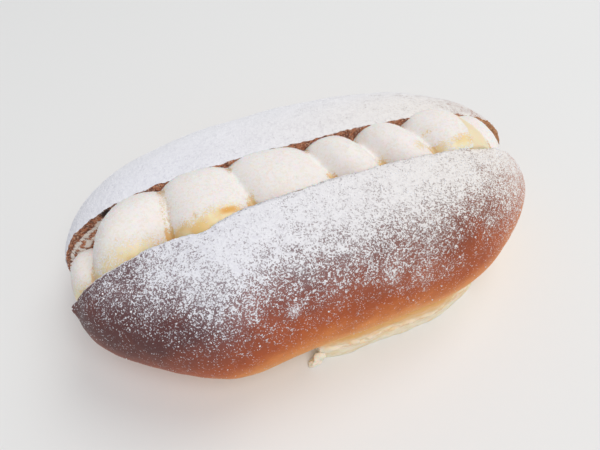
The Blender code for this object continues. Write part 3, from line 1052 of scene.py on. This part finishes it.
normals = normals_of(cream.data)
x, y, z = places.T
crease = crease_depth(cream.data, places, normals)
crease = np.clip(crease / np.percentile(crease, CREASE_SHARE), 0.0, 1.0)
bare = np.zeros(len(places))
for along, across, reach_along, reach_across, amount in BARE_SPOTS:
    bare += amount * np.exp(-(((x - along) / reach_along) ** 2) - ((y - across) / reach_across) ** 2)
along, across, left_slant, right_slant, right_end = WEDGE
left = along + left_slant * (y - across)
right = np.minimum(along + right_slant * (y - across), right_end)
scraped = smooth_step((x - left) / 0.0005) * smooth_step((right - x) / 0.0010)
bare = np.maximum(bare, 1.5 * scraped)
glaze = np.zeros(len(places))
for along, across, reach_along, reach_across, amount in GLAZE_SPOTS:
    glaze += amount * np.exp(-(((x - along) / reach_along) ** 4) - ((y - across) / reach_across) ** 4)
least, start, reach = CREASES_ACROSS
at_edge = least + (1 - least) * smooth_step((np.abs(y) - start) / reach)
at_edge = np.maximum(at_edge, CREASES_LEFT * smooth_step((DEEP_CREASES - x) / 0.006))
low, high, most = CREAM_COVER
cover = most * ramp(normals[:, 2], low, high) - bare - CREASE_BARES * crease * at_edge**2
cover += 0.10 * ripple(places, 0.0050, 4.0)
paint(cream.data, "sugar", np.clip(cover, 0.0, most))
paint(cream.data, "crease", crease * at_edge)
paint(cream.data, "glaze", glaze)
paint(cream.data, "scraped", scraped)
print(f"deepest crease {crease.max():.2f}; {np.mean(bare > 0.5):.1%} of the cream lies bare")

# %% Finish of the cream
CREAM = colour(240, 224, 178)
CREAM_DEEP = colour(232, 201, 136)
# Tan of the creases: partly the bare cream's own colour, partly painted shade.
CREASE_TONE_AND_SHADE = colour(200, 146, 92)
SCRAPED = colour(235, 219, 182)
GLAZE = colour(222, 164, 66)
SUGAR_ON_CREAM = colour(239, 233, 229)
THIN_ON_CREAM = colour(233, 222, 209)

cream_finish = bpy.data.materials.new("custard_cream")
tree, shader, where = start_finish(cream_finish)
cover = painted(tree, "sugar")
glaze = painted(tree, "glaze")
crease = painted(tree, "crease")
clouds = grain(tree, where, 0.0060, 2.0, 0.5)
tone = mix(tree, step_between(tree, clouds, 0.36, 0.58), CREAM, CREAM_DEEP)
tone = mix(tree, painted(tree, "scraped"), tone, SCRAPED)
tone = mix(tree, glaze, tone, GLAZE)
# The creases are tinted tan: partly bare cream, partly painted shade in the crease.
tone = mix(tree, maths(tree, "MULTIPLY", crease, 0.5), tone, CREASE_TONE_AND_SHADE)
unglazed = maths(tree, "MULTIPLY_ADD", glaze, -0.9, 1.0)
film = maths(tree, "MULTIPLY", maths(tree, "MULTIPLY", cover, 0.55), unglazed)
tone = mix(tree, film, tone, SUGAR_ON_CREAM)
grains = maths(tree, "MULTIPLY", sugar_grains(tree, where, cover), unglazed)
thin = maths(tree, "MULTIPLY", cells(tree, where, 0.00060), grain(tree, where, 0.0030, 3.0, 0.6))
white = mix(tree, step_between(tree, thin, 0.20, 0.50, 0.0, 0.6), SUGAR_ON_CREAM, THIN_ON_CREAM)
feed(tree, shader.inputs["Base Color"], mix(tree, grains, tone, white))
feed(tree, shader.inputs["Roughness"], step_between(tree, grains, 0.0, 0.6, 0.40, 0.88))
shader.inputs["Subsurface Weight"].default_value = 0.35
shader.inputs["Subsurface Scale"].default_value = 0.0030
feed(tree, shader.inputs["Normal"], bumps(tree, grains, 0.00016, 0.6))
cream.data.materials.clear()
cream.data.materials.append(cream_finish)
print("custard cream:", len(tree.nodes), "nodes")

# %% [markdown]
# ## Grains of sugar that stand off the surface
#
# Where the dusting thins out, single grains and little clots of sugar can be told apart, and they catch the
# light. These are real meshes. A tree of Geometry Nodes spreads points over a surface, more of them where the
# painted cover asks for it, puts a small lump on each, roughens the lumps with noise and makes them one mesh.


# %% Tree that sprinkles sugar
SPRINKLE_INPUTS = (
    ("Grains per square metre", "NodeSocketFloat"),
    ("Cover power", "NodeSocketFloat"),
    ("Smallest", "NodeSocketFloat"),
    ("Largest", "NodeSocketFloat"),
    ("Flatness", "NodeSocketFloat"),
    ("Roughness", "NodeSocketFloat"),
    ("Seed", "NodeSocketInt"),
    ("Finish", "NodeSocketMaterial"),
)


def sprinkle_tree(name, lump_kind, lump_values):
    tree = bpy.data.node_groups.new(name, "GeometryNodeTree")
    tree.interface.new_socket("Surface", in_out="INPUT", socket_type="NodeSocketGeometry")
    for title, kind in SPRINKLE_INPUTS:
        tree.interface.new_socket(title, in_out="INPUT", socket_type=kind)
    tree.interface.new_socket("Grains", in_out="OUTPUT", socket_type="NodeSocketGeometry")
    given = tree.nodes.new("NodeGroupInput").outputs
    cover = add_node(tree, "GeometryNodeInputNamedAttribute", {"Name": "sugar"}, data_type="FLOAT")
    wanted = maths(tree, "POWER", cover.outputs["Attribute"], given["Cover power"])
    wanted = maths(tree, "MULTIPLY", wanted, given["Grains per square metre"])
    spread = add_node(
        tree,
        "GeometryNodeDistributePointsOnFaces",
        {"Mesh": given["Surface"], "Density": wanted, "Seed": given["Seed"]},
        distribute_method="RANDOM",
    )
    lump = add_node(tree, lump_kind, lump_values).outputs["Mesh"]
    size = add_node(tree, "FunctionNodeRandomValue", {"Seed": given["Seed"]}, data_type="FLOAT")
    feed(tree, size.inputs[2], given["Smallest"])
    feed(tree, size.inputs[3], given["Largest"])
    flat = add_node(tree, "ShaderNodeCombineXYZ", {"X": 1.0, "Y": 1.0, "Z": given["Flatness"]})
    scale = add_node(tree, "ShaderNodeVectorMath", {0: flat.outputs[0]}, operation="SCALE")
    feed(tree, scale.inputs["Scale"], size.outputs[1])
    turn = add_node(tree, "FunctionNodeRandomValue", {"Seed": given["Seed"]}, data_type="FLOAT_VECTOR")
    turn.inputs[1].default_value = (math.tau, math.tau, math.tau)
    placed = add_node(
        tree,
        "GeometryNodeInstanceOnPoints",
        {
            "Points": spread.outputs["Points"],
            "Instance": lump,
            "Rotation": turn.outputs[0],
            "Scale": scale.outputs[0],
        },
    )
    real = add_node(tree, "GeometryNodeRealizeInstances", {"Geometry": placed.outputs[0]})
    here = add_node(tree, "GeometryNodeInputPosition").outputs[0]
    wave = maths(tree, "DIVIDE", 1.0, given["Largest"])
    rough = add_node(tree, "ShaderNodeTexNoise", {"Vector": here, "Scale": wave, "Detail": 1.0})
    centred = add_node(tree, "ShaderNodeVectorMath", {0: rough.outputs["Color"]}, operation="SUBTRACT")
    centred.inputs[1].default_value = (0.5, 0.5, 0.5)
    offset = add_node(tree, "ShaderNodeVectorMath", {0: centred.outputs[0]}, operation="SCALE")
    feed(tree, offset.inputs["Scale"], maths(tree, "MULTIPLY", given["Roughness"], given["Largest"]))
    moved = {"Geometry": real.outputs[0], "Offset": offset.outputs[0]}
    moved = add_node(tree, "GeometryNodeSetPosition", moved).outputs[0]
    coated = add_node(tree, "GeometryNodeSetMaterial", {"Geometry": moved, "Material": given["Finish"]})
    tree.links.new(coated.outputs[0], tree.nodes.new("NodeGroupOutput").inputs["Grains"])
    return tree


grain_tree = sprinkle_tree("sprinkle_grains", "GeometryNodeMeshUVSphere", {"Segments": 4, "Rings": 2})
clot_tree = sprinkle_tree("sprinkle_clots", "GeometryNodeMeshIcoSphere", {"Subdivisions": 1})
print("sprinkling takes", len(grain_tree.nodes), "nodes")

# %% Finish of the loose sugar
sugar_finish = bpy.data.materials.new("icing_sugar")
tree, shader, where = start_finish(sugar_finish)
powder = grain(tree, where, 0.0006, 2.0, 0.6)
feed(tree, shader.inputs["Base Color"], mix(tree, powder, colour(232, 232, 238), colour(246, 245, 244)))
shader.inputs["Roughness"].default_value = 0.9
feed(tree, shader.inputs["Normal"], bumps(tree, powder, 0.0001, 0.5))


# %% Sprinkle the sugar
def sprinkle(name, surface, keep, tree, sizes, density, power, seed):
    """Makes a piece of the grains that a tree spreads over the part of a surface where keep is true."""
    settings = {**sizes, "Grains per square metre": density, "Cover power": power, "Seed": seed}
    mesh = surface.data.copy()
    layer = np.empty(len(mesh.vertices), dtype=np.float32)
    mesh.attributes["sugar"].data.foreach_get("value", layer)
    paint(mesh, "sugar", np.where(keep, layer, 0.0))
    piece = add_object(name, mesh)
    spread = piece.modifiers.new("sprinkle", "NODES")
    spread.node_group = tree
    sockets = {item.name: item.identifier for item in tree.interface.items_tree}
    for title, value in settings.items():
        spread[sockets[title]] = value
    spread[sockets["Finish"]] = sugar_finish
    apply_modifiers(piece)
    report(piece)
    return piece


FOOT = 0.0012  # no grains lie under the bun
crust_places = places_of(crust.data)
open_air = ~inside_slit & (crust_places[:, 2] > FOOT)
near_side = open_air & (crust_places[:, 1] < 0)
far_side = open_air & (crust_places[:, 1] >= 0)
everywhere = np.ones(len(cream.data.vertices), bool)
FINE = {"Smallest": 0.00007, "Largest": 0.00018, "Flatness": 0.7, "Roughness": 0.8}
CLOTS = {"Smallest": 0.00016, "Largest": 0.00036, "Flatness": 0.6, "Roughness": 0.9}
near_grains = sprinkle("sugar_near", crust, near_side, grain_tree, FINE, 4.0e6, 0.8, 11)
far_grains = sprinkle("sugar_far", crust, far_side, grain_tree, FINE, 3.0e6, 0.8, 12)
clots = sprinkle("sugar_clots", crust, near_side, clot_tree, CLOTS, 0.34e6, 1.2, 13)
cream_grains = sprinkle("sugar_cream", cream, everywhere, grain_tree, FINE, 2.0e6, 0.8, 14)

# %% [markdown]
# ## Floor and light
#
# The bun lies on a plain pale floor. A large soft light stands to its right and a little behind it, so the
# shadow falls soft to the left. A larger one in front fills the near side, and a pale sky lights the rest.

# %% Floor
FLOOR_REACH = 1.5
bm = bmesh.new()
bmesh.ops.create_grid(bm, x_segments=1, y_segments=1, size=FLOOR_REACH)
floor = object_from(bm, "floor")
floor_finish = bpy.data.materials.new("pale_floor")
tree, shader, where = start_finish(floor_finish)
shade = grain(tree, where, 0.2, 1.0, 0.5)
feed(tree, shader.inputs["Base Color"], mix(tree, shade, colour(230, 230, 229), colour(232, 232, 231)))
shader.inputs["Roughness"].default_value = 0.8
floor.data.materials.append(floor_finish)

# %% Light
# Soft lights: place, width, power in watts and colour.
LIGHTS = {
    "key": ((1.10, 0.45, 1.90), 1.30, 15.2, (1.0, 0.974, 0.940)),
    "front": ((0.28, -1.20, 2.30), 1.90, 36.0, (1.0, 0.987, 0.970)),
}
SKY = (0.90, 0.94, 1.0, 1.0)
SKY_STRENGTH = 0.37

for name, (place, width, power, tint) in LIGHTS.items():
    light_data = bpy.data.lights.new(name, "AREA")
    light_data.shape = "DISK"
    light_data.size = width
    light_data.energy = power
    light_data.color = tint
    light = bpy.data.objects.new(name, light_data)
    light.location = place
    light.rotation_euler = Vector(place).to_track_quat("Z", "Y").to_euler()
    bpy.context.scene.collection.objects.link(light)

world = bpy.data.worlds.new("studio")
world.use_nodes = True
world.node_tree.nodes["Background"].inputs["Color"].default_value = SKY
world.node_tree.nodes["Background"].inputs["Strength"].default_value = SKY_STRENGTH
bpy.context.scene.world = world
bpy.context.scene.view_settings.view_transform = "Standard"
print(len(LIGHTS), "soft lights, sky", SKY_STRENGTH)

# %% [markdown]
# ## Tie the pieces to the imported solids
#
# Every piece rides on the bun's one body, and the imported solids that the pieces stand for are hidden.

# %% Ride and replace
for piece, slot in (
    (crust, "crust"),
    (torn_crumb, "crust"),
    (flap, "crust"),
    (near_grains, "crust"),
    (far_grains, "crust"),
    (clots, "crust"),
    (cream, "cream"),
    (cream_grains, "cream"),
):
    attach(piece, "root")
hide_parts("bun")
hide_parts("cream")
